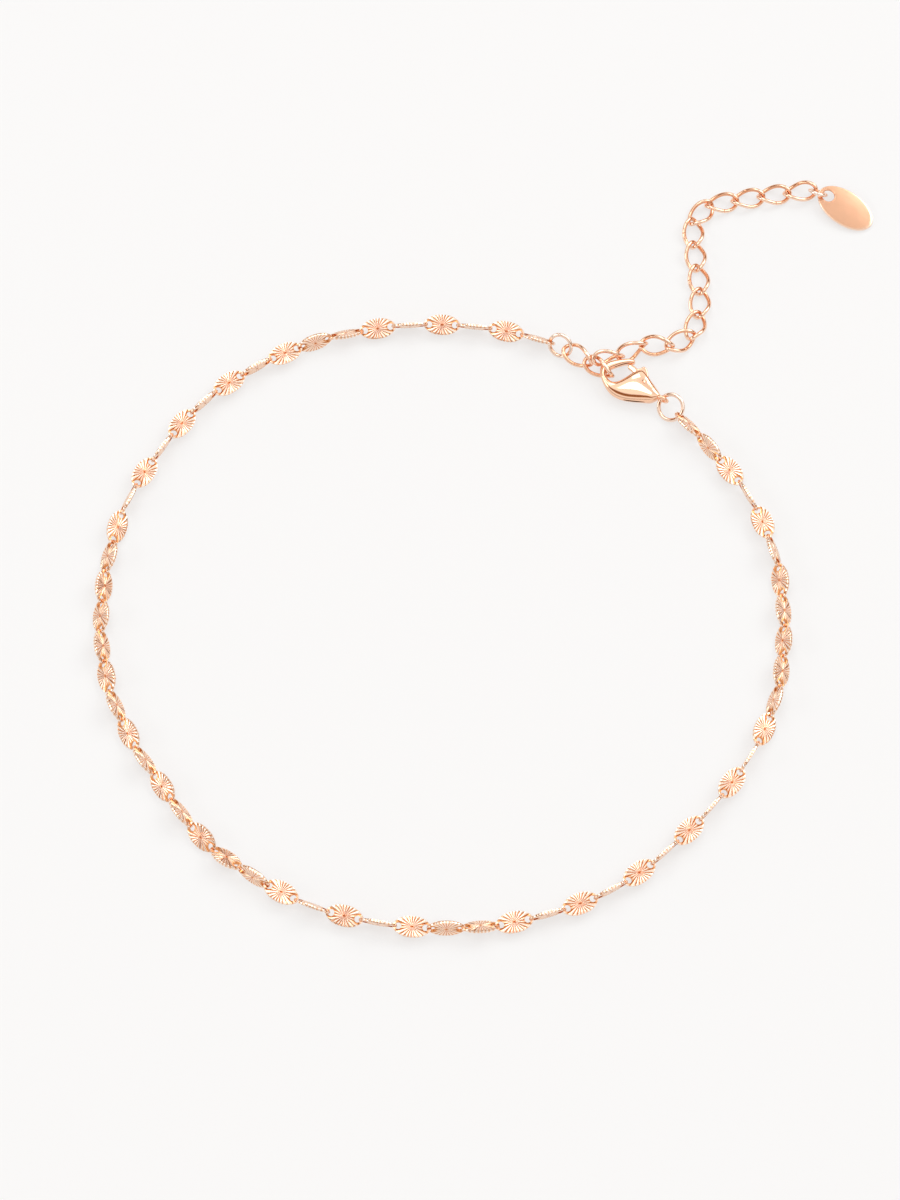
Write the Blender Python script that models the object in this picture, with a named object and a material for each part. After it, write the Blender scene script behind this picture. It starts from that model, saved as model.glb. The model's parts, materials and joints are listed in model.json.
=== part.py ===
"""Chain anklet: oval plate links, a curb-link extender with an oval tag, and a lobster clasp.

Every length is in millimetres and is turned into metres when a mesh is made.
The anklet lies on the floor z = 0 with its loop closed by the clasp.
"""
import bpy
import math
import numpy as np
from mathutils import Vector
from mathutils.geometry import tessellate_polygon

MM = 0.001

# Plate links
PLATE_COUNT = 59
LEFT_COUNT = 30
PLATE_PITCH = 3.65
PLATE_WIDTH = 2.35
PLATE_THICK = 0.34
EYE_BAR = 0.30
EYE_OVERLAP = 0.05
EYE_HOLE_LENGTH = 0.70
EYE_HOLE_WIDTH = 0.76
PLATE_RISE = 0.04
JOIN_GAP = 0.10

# Round wire rings and curb links
WIRE = 0.45
RING_RADIUS = 1.30
LINK_HALF_LENGTH = 1.85
LINK_HALF_WIDTH = 1.07
LINK_TWIST = 45.0
WIRE_SIDES = 6
RING_STEPS = 16
LINK_GAP = 0.20
# More play where two links meet at an awkward angle, by the number of the first one; 0 is the end ring
EXTRA_PLAY = {0: 0.148, 1: 0.22, 4: 0.06, 5: 0.14, 6: 0.14, 11: 0.16, 12: 0.08, 16: 0.12}

# Clasp
CLASP_THICK = 1.80
HOOK_THICK = 1.05
CLASP_ROUNDING = 0.26
CLASP_EYE_RADIUS = 0.66
CLASP_EYE_WIRE = 0.38
CLASP_TILT = 12.0
SLOT_WIDTH = 0.84
LEVER_THICK = 0.64
PIVOT = (2.50, 0.80)
PIN_RADIUS = 0.22
PIN_CLEARANCE = 0.06
LEVER_CLEARANCE = 0.06

# Tag
TAG_LENGTH = 7.2
TAG_WIDTH = 4.3
TAG_THICK = 0.40
TAG_HOLE_RADIUS = 0.70
TAG_HOLE_EDGE = 0.50
TAG_RING_RADIUS = 0.98
TAG_RING_WIRE = 0.40

# Where the chain lies: chosen points of its middle line, in plan
SHIFT = (-4.5687, -6.2652)
LOOP_ROUTE = [
    (11.6, 31.4), (6.3, 33.0), (-1.3, 33.8), (-8.5, 33.3), (-15.4, 31.5), (-22.1, 28.2),
    (-28.0, 23.6), (-32.4, 17.7), (-35.9, 11.4), (-37.7, 4.5), (-38.3, -2.8), (-37.4, -10.1),
    (-34.6, -17.0), (-30.6, -23.2), (-26.6, -28.7), (-20.9, -33.2), (-15.0, -36.4), (-8.9, -38.2),
    (-2.6, -39.0), (4.7, -38.7), (12.2, -36.9), (18.9, -33.7), (24.8, -28.7), (29.8, -23.1),
    (33.7, -16.9), (36.0, -10.0), (36.6, -2.8), (36.0, 4.4), (33.5, 11.6), (29.6, 17.4), (25.45, 22.5),
]
LOOP_MIDDLE = (0.0, -2.5)
# Roll of the even plates by station; an odd plate is turned a quarter turn more
ROLL_STATIONS = [
    (0, 54), (1, 68), (5, 68), (6, 45), (7, 15), (8, -10), (14, -10), (17, -45), (21, -52), (27, -52),
    (30, 5), (31, 25), (34, 8), (35, -15), (36, -42), (37, -80), (46, -80), (49, -45),
    (52, -45), (54, -10), (56, -10), (58, 48),
]
CLASP_RING_ROLL = -35.0
CLASP_RING_SEAT = (0.0, -0.05)
END_RING_HEADING = (0.93, -0.38)
END_RING_ROLL = 54.7
END_RING_EXIT = -17.6
END_RING_RISE = 0.161
CLASP_FROM_HOOKED = (6.977, -3.904, -0.043)
CLASP_DIRECTION = (-0.882, 0.471)
# Extender: headings in plan and rolls of the first links, then the route of the free end
FIRST_HEADING = (0.80, -0.544)
FIRST_RISE = 0.059
HOOKED_HEADING = (0.88, -0.586)
HOOKED_HEIGHT = 1.313
THIRD_START = -0.488
THIRD_HEADING = (0.96, 0.30)
THIRD_DROP = 0.351
EXTENDER_ROLLS = [43.3, 64.7, 89.4, 66.8, 50.5, 24.3]
TAIL_ROUTE = [
    (20.2, 29.8), (22.6, 31.4), (25.6, 31.0), (27.6, 33.0), (28.3, 36.1), (28.4, 39.2), (28.0, 42.2),
    (27.8, 45.2), (27.8, 47.6), (29.0, 49.3), (31.2, 49.9), (34.2, 50.4), (37.2, 51.0), (40.3, 51.3),
    (43.4, 51.6), (46.6, 51.9),
]
TAIL_LINKS = 13
TAG_RING_HEADING = (0.93, -0.36)
TAG_RING_ROLL = 52.0
TAG_RING_EXIT = 12.0
TAG_HEADING = (0.80, -0.60)
TAG_DROP = 6.5


def clear_scene():
    for obj in list(bpy.data.objects):
        bpy.data.objects.remove(obj, do_unlink=True)


def metal(name, colour, roughness):
    material = bpy.data.materials.new(name)
    material.use_nodes = True
    shader = material.node_tree.nodes["Principled BSDF"]
    shader.inputs["Base Color"].default_value = (*colour, 1.0)
    shader.inputs["Metallic"].default_value = 1.0
    shader.inputs["Roughness"].default_value = roughness
    return material


def unit(vector):
    vector = np.asarray(vector, float)
    return vector / np.linalg.norm(vector)


def plan(point, height=0.0):
    """A plan point of the photo's layout, moved so that the whole stands over the origin."""
    return np.array([point[0] + SHIFT[0], point[1] + SHIFT[1], height])


def axes(heading, roll):
    """Rows x, y, z of a link whose length runs along heading, turned by roll degrees about it."""
    x = unit(heading)
    y0 = unit(np.cross([0.0, 0.0, 1.0], x))
    z0 = np.cross(x, y0)
    c = math.cos(math.radians(roll))
    s = math.sin(math.radians(roll))
    return np.array([x, c * y0 + s * z0, c * z0 - s * y0])


def curve_through(points, per=24):
    """A Catmull-Rom curve through the points, as many short steps."""
    p = np.asarray(points, float)
    p = np.vstack([2 * p[0] - p[1], p, 2 * p[-1] - p[-2]])
    t = np.linspace(0.0, 1.0, per, endpoint=False)[:, None]
    pieces = []
    for a, b, c, d in zip(p[:-3], p[1:-2], p[2:-1], p[3:]):
        pieces.append(
            0.5 * (2 * b + (c - a) * t + (2 * a - 5 * b + 4 * c - d) * t**2 + (3 * b - a - 3 * c + d) * t**3)
        )
    pieces.append(p[-2][None, :])
    return np.vstack(pieces)


def chords(curve, spans):
    """Points on the curve, each at its span from the one before; past the curve's end they run straight on."""
    onward = curve[-1] + unit(curve[-1] - curve[-2]) * sum(spans)
    curve = np.vstack([curve, onward])
    found = [curve[0]]
    at = 0
    for span in spans:
        here = found[-1]
        far = np.linalg.norm(curve[at:] - here, axis=1) >= span
        at += int(np.argmax(far))
        low, high = curve[at - 1], curve[at]
        for _ in range(30):
            mid = (low + high) / 2
            if np.linalg.norm(mid - here) < span:
                low = mid
            else:
                high = mid
        found.append((low + high) / 2)
    return np.array(found)


def eye_reach(index, side):
    """From a plate's middle to the point where it meets its neighbour, half way between their bars."""
    apart = EYE_BAR - EYE_OVERLAP
    if (index, side) in ((LEFT_COUNT - 1, 1), (LEFT_COUNT, -1)):
        apart = EYE_BAR + JOIN_GAP
    return bar_offset() - apart / 2


def loop_contacts():
    """The points where plate meets plate, with the route swelled or shrunk so that the count fits."""
    route = np.asarray(LOOP_ROUTE, float)
    middle = np.asarray(LOOP_MIDDLE, float)
    weight = np.sin(np.linspace(0.0, math.pi, len(route)))[:, None] ** 0.5
    outward = route - middle
    outward /= np.linalg.norm(outward, axis=1)[:, None]
    low, high = -2.0, 2.0
    for _ in range(40):
        swell = (low + high) / 2
        curve = curve_through(route + swell * weight * outward)
        found = chords(curve, [eye_reach(i, -1) + eye_reach(i, 1) for i in range(PLATE_COUNT)])
        behind = np.dot(found[-1] - curve[-1], curve[-1] - curve[-2])
        if behind > 0:
            low = swell
        else:
            high = swell
    return found


def mesh_object(name, points, faces, material, smooth_angle=35.0):
    mesh = bpy.data.meshes.new(name)
    mesh.from_pydata([tuple(p) for p in np.asarray(points) * MM], [], [tuple(int(i) for i in f) for f in faces])
    mesh.materials.append(material)
    mesh.update()
    obj = bpy.data.objects.new(name, mesh)
    bpy.context.scene.collection.objects.link(obj)
    mesh.shade_smooth()
    mesh.set_sharp_from_angle(angle=math.radians(smooth_angle))
    return obj


def inset(loop, distance):
    """A closed plan outline moved inwards, its inside on the left hand as it runs."""
    forward = np.roll(loop, -1, axis=0) - loop
    forward /= np.linalg.norm(forward, axis=1)[:, None]
    back = np.roll(forward, 1, axis=0)
    normal = np.stack([-forward[:, 1], forward[:, 0]], axis=1)
    before = np.stack([-back[:, 1], back[:, 0]], axis=1)
    mean = normal + before
    mean /= np.maximum(1e-9, (mean * normal).sum(axis=1))[:, None]
    return loop + mean * distance


def slab(loops, levels, thickness=None):
    """Points and faces of a flat piece: loops are its outline, turning left, and holes, turning right.

    levels are (inset, height) pairs from the bottom face to the top one. thickness, when given,
    is a function of the plan points that scales the heights.
    """
    count = sum(len(loop) for loop in loops)
    layers = []
    for distance, height in levels:
        flat = np.vstack([inset(loop, distance) for loop in loops])
        scale = thickness(np.vstack(loops)) if thickness else np.ones(count)
        layers.append(np.column_stack([flat, height * scale]))
    points = np.vstack(layers)
    faces = []
    start = 0
    for loop in loops:
        for i in range(len(loop)):
            a = start + i
            b = start + (i + 1) % len(loop)
            for level in range(len(levels) - 1):
                low, high = level * count, (level + 1) * count
                faces.append((low + a, low + b, high + b, high + a))
        start += len(loop)
    top = (len(levels) - 1) * count
    top_flat = layers[-1][:, :2]
    bounds = np.cumsum([0] + [len(loop) for loop in loops])
    parts = [[Vector((x, y, 0.0)) for x, y in top_flat[i:j]] for i, j in zip(bounds[:-1], bounds[1:])]
    for a, b, c in tessellate_polygon(parts):
        p, q, r = top_flat[a], top_flat[b], top_flat[c]
        area = (q[0] - p[0]) * (r[1] - p[1]) - (q[1] - p[1]) * (r[0] - p[0])
        if abs(area) < 1e-9:
            continue
        if area < 0:
            b, c = c, b
        faces.append((top + a, top + b, top + c))
        faces.append((a, c, b))
    return points, faces


def placed(points, origin, frame):
    return np.asarray(origin) + np.asarray(points) @ np.asarray(frame)


def plate_loops():
    """Outline and two eye holes of a plate link, in its own plan."""
    reach = bar_offset() + EYE_BAR / 2
    half = PLATE_WIDTH / 2
    xs = np.array([1.0, 0.91, 0.68, 0.36, 0.0])
    widths = np.array([0.20, 0.36, 0.70, 0.94, 1.0])
    right = np.column_stack([xs * reach, widths * half])
    left = right[-2::-1] * (-1, 1)
    upper = np.vstack([right, left])
    outline = np.vstack([upper, upper[::-1] * (1, -1)])
    inner = reach - EYE_BAR
    shape = np.array([(0.0, 0.36), (-0.42, 0.5), (-1.0, 0.34)])
    hole = np.vstack([shape, shape[::-1] * (1, -1)]) * (EYE_HOLE_LENGTH, EYE_HOLE_WIDTH) + (inner, 0.0)
    hole = hole[::-1]
    return [outline, hole, hole * (-1, -1)]


def bar_offset():
    """From a plate's middle to the middle of its end bar."""
    return (PLATE_PITCH + EYE_BAR - EYE_OVERLAP) / 2


def roll_of(index):
    stations, rolls = np.array(ROLL_STATIONS, float).T
    return float(np.interp(index, stations, rolls)) + (90.0 if index % 2 else 0.0)


def rest_height(roll, half_width, half_thick):
    angle = math.radians(roll)
    return half_width * abs(math.sin(angle)) + half_thick * abs(math.cos(angle))


def plate_frames():
    """Middle, axes and roll of every plate of the loop, in order from the end ring."""
    contacts = loop_contacts()
    rest = [rest_height(roll_of(i), PLATE_WIDTH / 2, PLATE_THICK / 2 + PLATE_RISE) for i in range(PLATE_COUNT)]
    joint = [max(rest[max(0, i - 1)], rest[min(i, PLATE_COUNT - 1)]) for i in range(PLATE_COUNT + 1)]
    found = []
    for i in range(PLATE_COUNT):
        a = plan(contacts[i], joint[i])
        b = plan(contacts[i + 1], joint[i + 1])
        frame = axes(b - a, roll_of(i))
        found.append((a + eye_reach(i, -1) * frame[0], frame))
    return found


def plate_group(name, frames, material):
    half = PLATE_THICK / 2
    flat, flat_faces = slab(plate_loops(), [(0.0, -half), (0.0, half)])
    swell = 1.0 + PLATE_RISE / half * np.clip(1.0 - (flat[:, 0] / 1.3) ** 2, 0.0, 1.0)
    flat[:, 2] *= swell
    points = []
    faces = []
    for middle, frame in frames:
        base = sum(len(p) for p in points)
        points.append(placed(flat, middle, frame))
        faces.extend(tuple(base + i for i in face) for face in flat_faces)
    return mesh_object(name, np.vstack(points), faces, material)


def fuse(obj, other, operation="UNION"):
    """Joins other to obj, or cuts it away, and leaves other as a hidden helper."""
    modifier = obj.modifiers.new("fuse_" + other.name, "BOOLEAN")
    modifier.operation = operation
    modifier.solver = "EXACT"
    modifier.object = other
    other.hide_render = True
    other.display_type = "WIRE"


def plate_chain(name, frames, material):
    """A run of plates as one body: its odd plates joined to its even ones at the eyes."""
    even = plate_group(name, frames[0::2], material)
    odd = plate_group(name + "_odd_plates", frames[1::2], material)
    fuse(even, odd)
    return even


def tube(middle_line, sides, radius, normals):
    """A closed tube round a closed line; normals lie across the line and turn with it."""
    n = len(middle_line)
    ahead = np.roll(middle_line, -1, axis=0) - np.roll(middle_line, 1, axis=0)
    ahead /= np.linalg.norm(ahead, axis=1)[:, None]
    first = normals - (normals * ahead).sum(axis=1)[:, None] * ahead
    first /= np.linalg.norm(first, axis=1)[:, None]
    second = np.cross(ahead, first)
    angle = 2 * math.pi * (np.arange(sides) + 0.5) / sides
    ring = np.cos(angle)[None, :, None] * first[:, None, :] + np.sin(angle)[None, :, None] * second[:, None, :]
    points = (middle_line[:, None, :] + radius * ring).reshape(-1, 3)
    faces = []
    for i in range(n):
        for j in range(sides):
            k = (j + 1) % sides
            m = (i + 1) % n
            faces.append((i * sides + j, i * sides + k, m * sides + k, m * sides + j))
    return points, [face[::-1] for face in faces]


def round_ring(name, middle, frame, radius, wire, material, steps=RING_STEPS, sides=WIRE_SIDES):
    t = 2 * math.pi * np.arange(steps) / steps
    line = np.column_stack([radius * np.cos(t), radius * np.sin(t), 0 * t])
    outward = np.column_stack([np.cos(t), np.sin(t), 0 * t])
    points, faces = tube(line, sides, wire / 2, outward)
    points, faces = facing_out(points, faces)
    return mesh_object(name, placed(points, middle, frame), faces, material, 60.0)


def curb_points():
    """A curb link: an oval whose width turns about its length as it goes along."""
    t = 2 * math.pi * np.arange(RING_STEPS) / RING_STEPS
    x = LINK_HALF_LENGTH * np.cos(t)
    across = LINK_HALF_WIDTH * np.sin(t)
    turn = np.radians(LINK_TWIST) * x / LINK_HALF_LENGTH
    line = np.column_stack([x, across * np.cos(turn), across * np.sin(turn)])
    outward = line * (1.0, LINK_HALF_LENGTH / LINK_HALF_WIDTH, LINK_HALF_LENGTH / LINK_HALF_WIDTH)
    points, faces = tube(line, WIRE_SIDES, WIRE / 2, outward)
    return facing_out(points, faces)


def facing_out(points, faces):
    """Turns every face round when the body's volume comes out negative."""
    volume = 0.0
    for face in faces:
        a = points[face[0]]
        for i in range(1, len(face) - 1):
            volume += np.dot(a, np.cross(points[face[i]], points[face[i + 1]]))
    return (points, faces) if volume > 0 else (points, [face[::-1] for face in faces])


def curb_link(name, middle, frame, material):
    points, faces = curb_points()
    return mesh_object(name, placed(points, middle, frame), faces, material, 60.0)


def link_rest(roll):
    """Height of a curb link's middle when its lowest wire touches the floor."""
    points, _ = curb_points()
    frame = axes((1.0, 0.0, 0.0), roll)
    return -(points @ frame)[:, 2].min()


def clasp_frame():
    """Rows of the clasp's own axes: x to the hook's end, y to its back, z up through its side."""
    x = unit([*CLASP_DIRECTION, 0.0])
    back = np.cross([0.0, 0.0, 1.0], x)
    tilt = math.radians(CLASP_TILT)
    y = back * math.cos(tilt) - np.array([0.0, 0.0, 1.0]) * math.sin(tilt)
    return np.array([x, y, np.cross(x, y)])


def smooth_loop(points, count):
    """Evenly spaced points on a closed curve through the given ones, turning left."""
    p = np.asarray(points, float)
    q = np.vstack([p[-3:], p, p[:4]])
    curve = curve_through(q, 16)[3 * 16:(len(p) + 3) * 16 + 1]
    step = np.r_[0.0, np.cumsum(np.linalg.norm(np.diff(curve, axis=0), axis=1))]
    at = np.linspace(0.0, step[-1], count, endpoint=False)
    loop = np.column_stack([np.interp(at, step, curve[:, 0]), np.interp(at, step, curve[:, 1])])
    area = (loop[:, 0] * np.roll(loop[:, 1], -1) - loop[:, 1] * np.roll(loop[:, 0], -1)).sum()
    return loop if area > 0 else loop[::-1]


def clasp_thickness(points):
    """Share of the body's thickness at a plan point: full at the body, thin at the hook's end."""
    t = np.clip((points[:, 0] - 3.4) / 3.0, 0.0, 1.0)
    t = t * t * (3 - 2 * t)
    eye = np.clip((1.3 - points[:, 0]) / 1.3, 0.0, 1.0)
    return (1 - t) + t * HOOK_THICK / CLASP_THICK - 0.45 * eye * eye


CLASP_OUTLINE = [
    (0.45, 0.42), (0.95, 0.98), (1.7, 1.32), (2.6, 1.68), (3.5, 1.98), (4.4, 2.14), (5.2, 2.08), (5.95, 1.80),
    (6.65, 1.33), (7.3, 0.78), (7.74, 0.15), (7.86, -0.40), (7.58, -1.0), (7.0, -1.55), (6.3, -2.05),
    (5.6, -2.48), (5.0, -2.72), (4.62, -2.62), (4.60, -2.30), (5.0, -2.02), (5.6, -1.62), (6.2, -1.05),
    (6.72, -0.45), (6.90, 0.12), (6.62, 0.50), (5.95, 0.66), (5.32, 0.34), (4.84, -0.30), (4.42, -1.02),
    (3.98, -1.70), (3.46, -2.04), (2.80, -1.84), (1.84, -1.26), (0.95, -0.74), (0.45, -0.42),
]
LEVER_OUTLINE = [
    (2.05, -0.62), (2.25, -1.25), (2.70, -1.95), (3.15, -2.38), (3.50, -2.42), (3.66, -2.12), (3.95, -1.86),
    (4.45, -1.93), (4.90, -1.88), (5.05, -1.66), (4.92, -1.44), (4.45, -1.34), (3.85, -1.02), (3.25, -0.55),
    (2.85, -0.28), (2.40, -0.28),
]


def box_cutter(name, low, high, origin, frame, material):
    corners = np.array([(x, y, z) for x in (low[0], high[0]) for y in (low[1], high[1]) for z in (low[2], high[2])])
    faces = [(0, 1, 3, 2), (4, 6, 7, 5), (0, 4, 5, 1), (2, 3, 7, 6), (0, 2, 6, 4), (1, 5, 7, 3)]
    points, faces = facing_out(corners - corners.mean(axis=0), faces)
    return mesh_object(name, placed(points + corners.mean(axis=0), origin, frame), faces, material)


def drum(name, x, y, radius, height, sides, origin, frame, material):
    t = 2 * math.pi * np.arange(sides) / sides
    loop = np.column_stack([x + radius * np.cos(t), y + radius * np.sin(t)])
    points, faces = slab([loop], [(0.0, -height / 2), (0.0, height / 2)])
    return mesh_object(name, placed(points, origin, frame), faces, material)


def on_circle(degrees):
    """A point of the unit circle in a ring's own plane."""
    return np.array([math.cos(math.radians(degrees)), math.sin(math.radians(degrees)), 0.0])


def build_clasp(origin, body_metal, steel):
    """The lobster clasp, with the middle of its eye at origin."""
    frame = clasp_frame()
    half = CLASP_THICK / 2
    r = CLASP_ROUNDING
    levels = [(r, -half), (0.3 * r, -half + 0.3 * r), (0.0, -half + r)]
    levels += [(0.0, half - r), (0.3 * r, half - 0.3 * r), (r, half)]
    outline = smooth_loop(CLASP_OUTLINE, 52)
    points, faces = slab([outline], levels, clasp_thickness)
    body = mesh_object("clasp_body", placed(points, origin, frame), faces, body_metal, 40.0)

    t = 2 * math.pi * np.arange(14) / 14
    line = np.column_stack([CLASP_EYE_RADIUS * np.cos(t), 0 * t, CLASP_EYE_RADIUS * np.sin(t)])
    ring, ring_faces = facing_out(*tube(line, 6, CLASP_EYE_WIRE / 2, line))
    eye = mesh_object("clasp_eye_helper", placed(ring, origin, frame), ring_faces, body_metal)
    fuse(body, eye)

    px, py = PIVOT[0], -PIVOT[1]
    slot = box_cutter(
        "slot_cutter", (1.55, -3.2, -SLOT_WIDTH / 2), (4.35, 0.20, SLOT_WIDTH / 2), origin, frame, body_metal
    )
    fuse(body, slot, "DIFFERENCE")
    swing = box_cutter(
        "swing_cutter", (4.25, -1.75, -SLOT_WIDTH / 2), (5.10, 0.20, SLOT_WIDTH / 2), origin, frame, body_metal
    )
    fuse(body, swing, "DIFFERENCE")
    hole_radius = PIN_RADIUS + PIN_CLEARANCE
    bore = drum("pin_hole_cutter", px, py, hole_radius, 3.0, 10, origin, frame, body_metal)
    fuse(body, bore, "DIFFERENCE")
    seam = box_cutter("seam_cutter", (1.5, 0.9, -0.10), (3.4, 3.0, 0.10), origin, frame, body_metal)
    fuse(body, seam, "DIFFERENCE")

    outline = smooth_loop(LEVER_OUTLINE, 30)
    points, faces = slab([outline], [(0.08, -LEVER_THICK / 2), (0.0, -0.2), (0.0, 0.2), (0.08, LEVER_THICK / 2)])
    lever = mesh_object("clasp_lever", placed(points, origin, frame), faces, body_metal, 40.0)
    bore_radius = hole_radius + LEVER_CLEARANCE
    lever_bore = drum("lever_hole_cutter", px, py, bore_radius, 2.0, 10, origin, frame, body_metal)
    fuse(lever, lever_bore, "DIFFERENCE")

    drum("clasp_pin", px, py, PIN_RADIUS, CLASP_THICK - 0.04, 10, origin, frame, steel)


def build_hardware(gold, first_plate):
    """Rings, extender links and tag, each placed from the one before it. Gives the middle of the clasp's eye."""
    reach = LINK_HALF_LENGTH
    step = WIRE + LINK_GAP

    plate_middle, plate_frame = first_plate
    wire_in_plate = plate_middle - (bar_offset() - (EYE_BAR + EYE_HOLE_LENGTH) / 2) * plate_frame[0]
    ring_heading = unit([*END_RING_HEADING, END_RING_RISE])
    ring_middle = wire_in_plate + RING_RADIUS * ring_heading
    round_ring("end_ring", ring_middle, axes(ring_heading, END_RING_ROLL), RING_RADIUS, WIRE, gold)

    exit_wire = ring_middle + RING_RADIUS * on_circle(END_RING_EXIT) @ axes(ring_heading, END_RING_ROLL)
    heading = unit([*FIRST_HEADING, FIRST_RISE])
    middle = exit_wire + (reach - step - EXTRA_PLAY[0]) * heading
    curb_link("extender_link_01", middle, axes(heading, EXTENDER_ROLLS[0]), gold)

    inner = middle + (reach - step - EXTRA_PLAY[1]) * heading
    heading = unit([*HOOKED_HEADING, 0.0])
    middle = inner + reach * heading
    middle[2] = HOOKED_HEIGHT
    hooked = axes(heading, EXTENDER_ROLLS[1])
    curb_link("extender_link_02", middle, hooked, gold)
    clasp_eye = middle + np.array(CLASP_FROM_HOOKED)

    share = THIRD_START / reach
    across = LINK_HALF_WIDTH * math.sqrt(1 - share * share)
    turn = math.radians(LINK_TWIST) * share
    wire = middle + np.array([THIRD_START, across * math.cos(turn), across * math.sin(turn)]) @ hooked
    heading = unit([*THIRD_HEADING, -THIRD_DROP])
    middle = wire + (reach - step) * heading
    curb_link("extender_link_03", middle, axes(heading, EXTENDER_ROLLS[2]), gold)

    play = [EXTRA_PLAY.get(i, 0.0) / 2 for i in range(3, TAIL_LINKS + 4)]
    first = middle + (reach - step / 2 - play[0]) * heading
    route = np.asarray(TAIL_ROUTE, float) + np.asarray(SHIFT)
    route[0] = first[:2]
    spans = [2 * reach - step - play[i] - play[i + 1] for i in range(TAIL_LINKS)]
    contacts = chords(curve_through(route), spans)
    rolls = EXTENDER_ROLLS[3:] + [0] * (TAIL_LINKS - len(EXTENDER_ROLLS) + 3)
    heights = [link_rest(roll) for roll in rolls]
    tag_ring_height = TAG_RING_RADIUS * math.sin(math.radians(TAG_RING_ROLL)) + TAG_RING_WIRE / 2
    joints = [first[2]] + [max(a, b) for a, b in zip(heights[:-1], heights[1:])] + [tag_ring_height]
    for i in range(TAIL_LINKS):
        a = np.array([*contacts[i], joints[i]])
        b = np.array([*contacts[i + 1], joints[i + 1]])
        heading = unit(b - a)
        middle = a + (reach - step / 2 - play[i]) * heading
        curb_link(f"extender_link_{i + 4:02d}", middle, axes(heading, rolls[i]), gold)

    end = middle + (reach - (WIRE + TAG_RING_WIRE) / 2 - LINK_GAP - EXTRA_PLAY[TAIL_LINKS + 3]) * heading
    heading = unit([*TAG_RING_HEADING, 0.0])
    frame = axes(heading, -TAG_RING_ROLL)
    ring_middle = end + TAG_RING_RADIUS * frame[0]
    ring_middle[2] = tag_ring_height
    round_ring("tag_ring", ring_middle, frame, TAG_RING_RADIUS, TAG_RING_WIRE, gold, 14)

    build_tag(ring_middle + TAG_RING_RADIUS * on_circle(TAG_RING_EXIT) @ frame, gold)
    return clasp_eye


def tag_loops():
    """The tag's oval outline and its hole, in plan, with the hole's middle at the origin."""
    centre = TAG_LENGTH / 2 - TAG_HOLE_EDGE - TAG_HOLE_RADIUS
    t = 2 * math.pi * np.arange(28) / 28
    outline = np.column_stack([centre + TAG_LENGTH / 2 * np.cos(t), TAG_WIDTH / 2 * np.sin(t)])
    s = -2 * math.pi * np.arange(10) / 10
    hole = np.column_stack([TAG_HOLE_RADIUS * np.cos(s), TAG_HOLE_RADIUS * np.sin(s)])
    return outline, hole, centre


def build_tag(wire_point, gold):
    outline, hole, centre = tag_loops()
    half = TAG_THICK / 2
    levels = [(0.08, -half), (0.0, -half + 0.08), (0.0, half - 0.08), (0.08, half)]
    points, faces = slab([outline, hole], levels)
    x = unit([*TAG_HEADING, -math.tan(math.radians(TAG_DROP))])
    y = unit(np.cross([0.0, 0.0, 1.0], x))
    frame = np.array([x, y, np.cross(x, y)])
    shift = TAG_HOLE_RADIUS - TAG_RING_WIRE / 2 - LINK_GAP
    origin = np.array(wire_point) + shift * x
    low = (points @ frame)[:, 2].min()
    origin[2] = -low
    return mesh_object("tag", placed(points, origin, frame), faces, gold, 40.0)


def build_clasp_ring(clasp_eye, gold, last_plate):
    """The ring between the clasp's eye and the last plate's eye."""
    near_eye = clasp_eye + np.array([*CLASP_RING_SEAT, 0.0]) @ clasp_frame()
    middle, frame = last_plate
    bar = middle + bar_offset() * frame[0]
    wire_in_plate = bar - (EYE_BAR + EYE_HOLE_LENGTH) / 2 * frame[0]
    heading = unit(near_eye - wire_in_plate)
    centre = (near_eye + wire_in_plate) / 2
    radius = np.linalg.norm(near_eye - wire_in_plate) / 2
    round_ring("clasp_ring", centre, axes(heading, CLASP_RING_ROLL), radius, WIRE, gold)


def main():
    clear_scene()
    gold = metal("rose_gold_polished", (0.86, 0.55, 0.42), 0.16)
    cut_gold = metal("rose_gold_cut", (0.88, 0.58, 0.45), 0.22)
    steel = metal("pin_metal", (0.80, 0.52, 0.40), 0.25)
    frames = plate_frames()
    plate_chain("plate_chain_left", frames[:LEFT_COUNT], cut_gold)
    plate_chain("plate_chain_right", frames[LEFT_COUNT:], cut_gold)
    clasp_eye = build_hardware(gold, frames[0])
    build_clasp(clasp_eye, gold, steel)
    build_clasp_ring(clasp_eye, gold, frames[-1])


main()
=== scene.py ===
import bpy
import json
import math
import numpy as np
from mathutils import Matrix, Vector


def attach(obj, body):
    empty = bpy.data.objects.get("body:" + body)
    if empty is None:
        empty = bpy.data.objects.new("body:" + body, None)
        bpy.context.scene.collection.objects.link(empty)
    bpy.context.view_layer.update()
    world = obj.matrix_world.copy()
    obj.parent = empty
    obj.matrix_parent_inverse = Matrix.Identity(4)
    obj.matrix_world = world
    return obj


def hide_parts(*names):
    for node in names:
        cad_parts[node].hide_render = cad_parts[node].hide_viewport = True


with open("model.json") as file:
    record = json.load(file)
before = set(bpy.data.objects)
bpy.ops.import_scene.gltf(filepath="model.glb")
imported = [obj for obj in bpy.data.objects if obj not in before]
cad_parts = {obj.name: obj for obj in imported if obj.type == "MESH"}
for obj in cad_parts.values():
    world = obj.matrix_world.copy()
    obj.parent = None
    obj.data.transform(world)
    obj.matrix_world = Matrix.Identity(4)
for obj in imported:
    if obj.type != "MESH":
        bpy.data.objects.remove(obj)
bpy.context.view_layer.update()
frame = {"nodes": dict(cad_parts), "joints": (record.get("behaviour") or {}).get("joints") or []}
MM = 0.001


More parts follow.
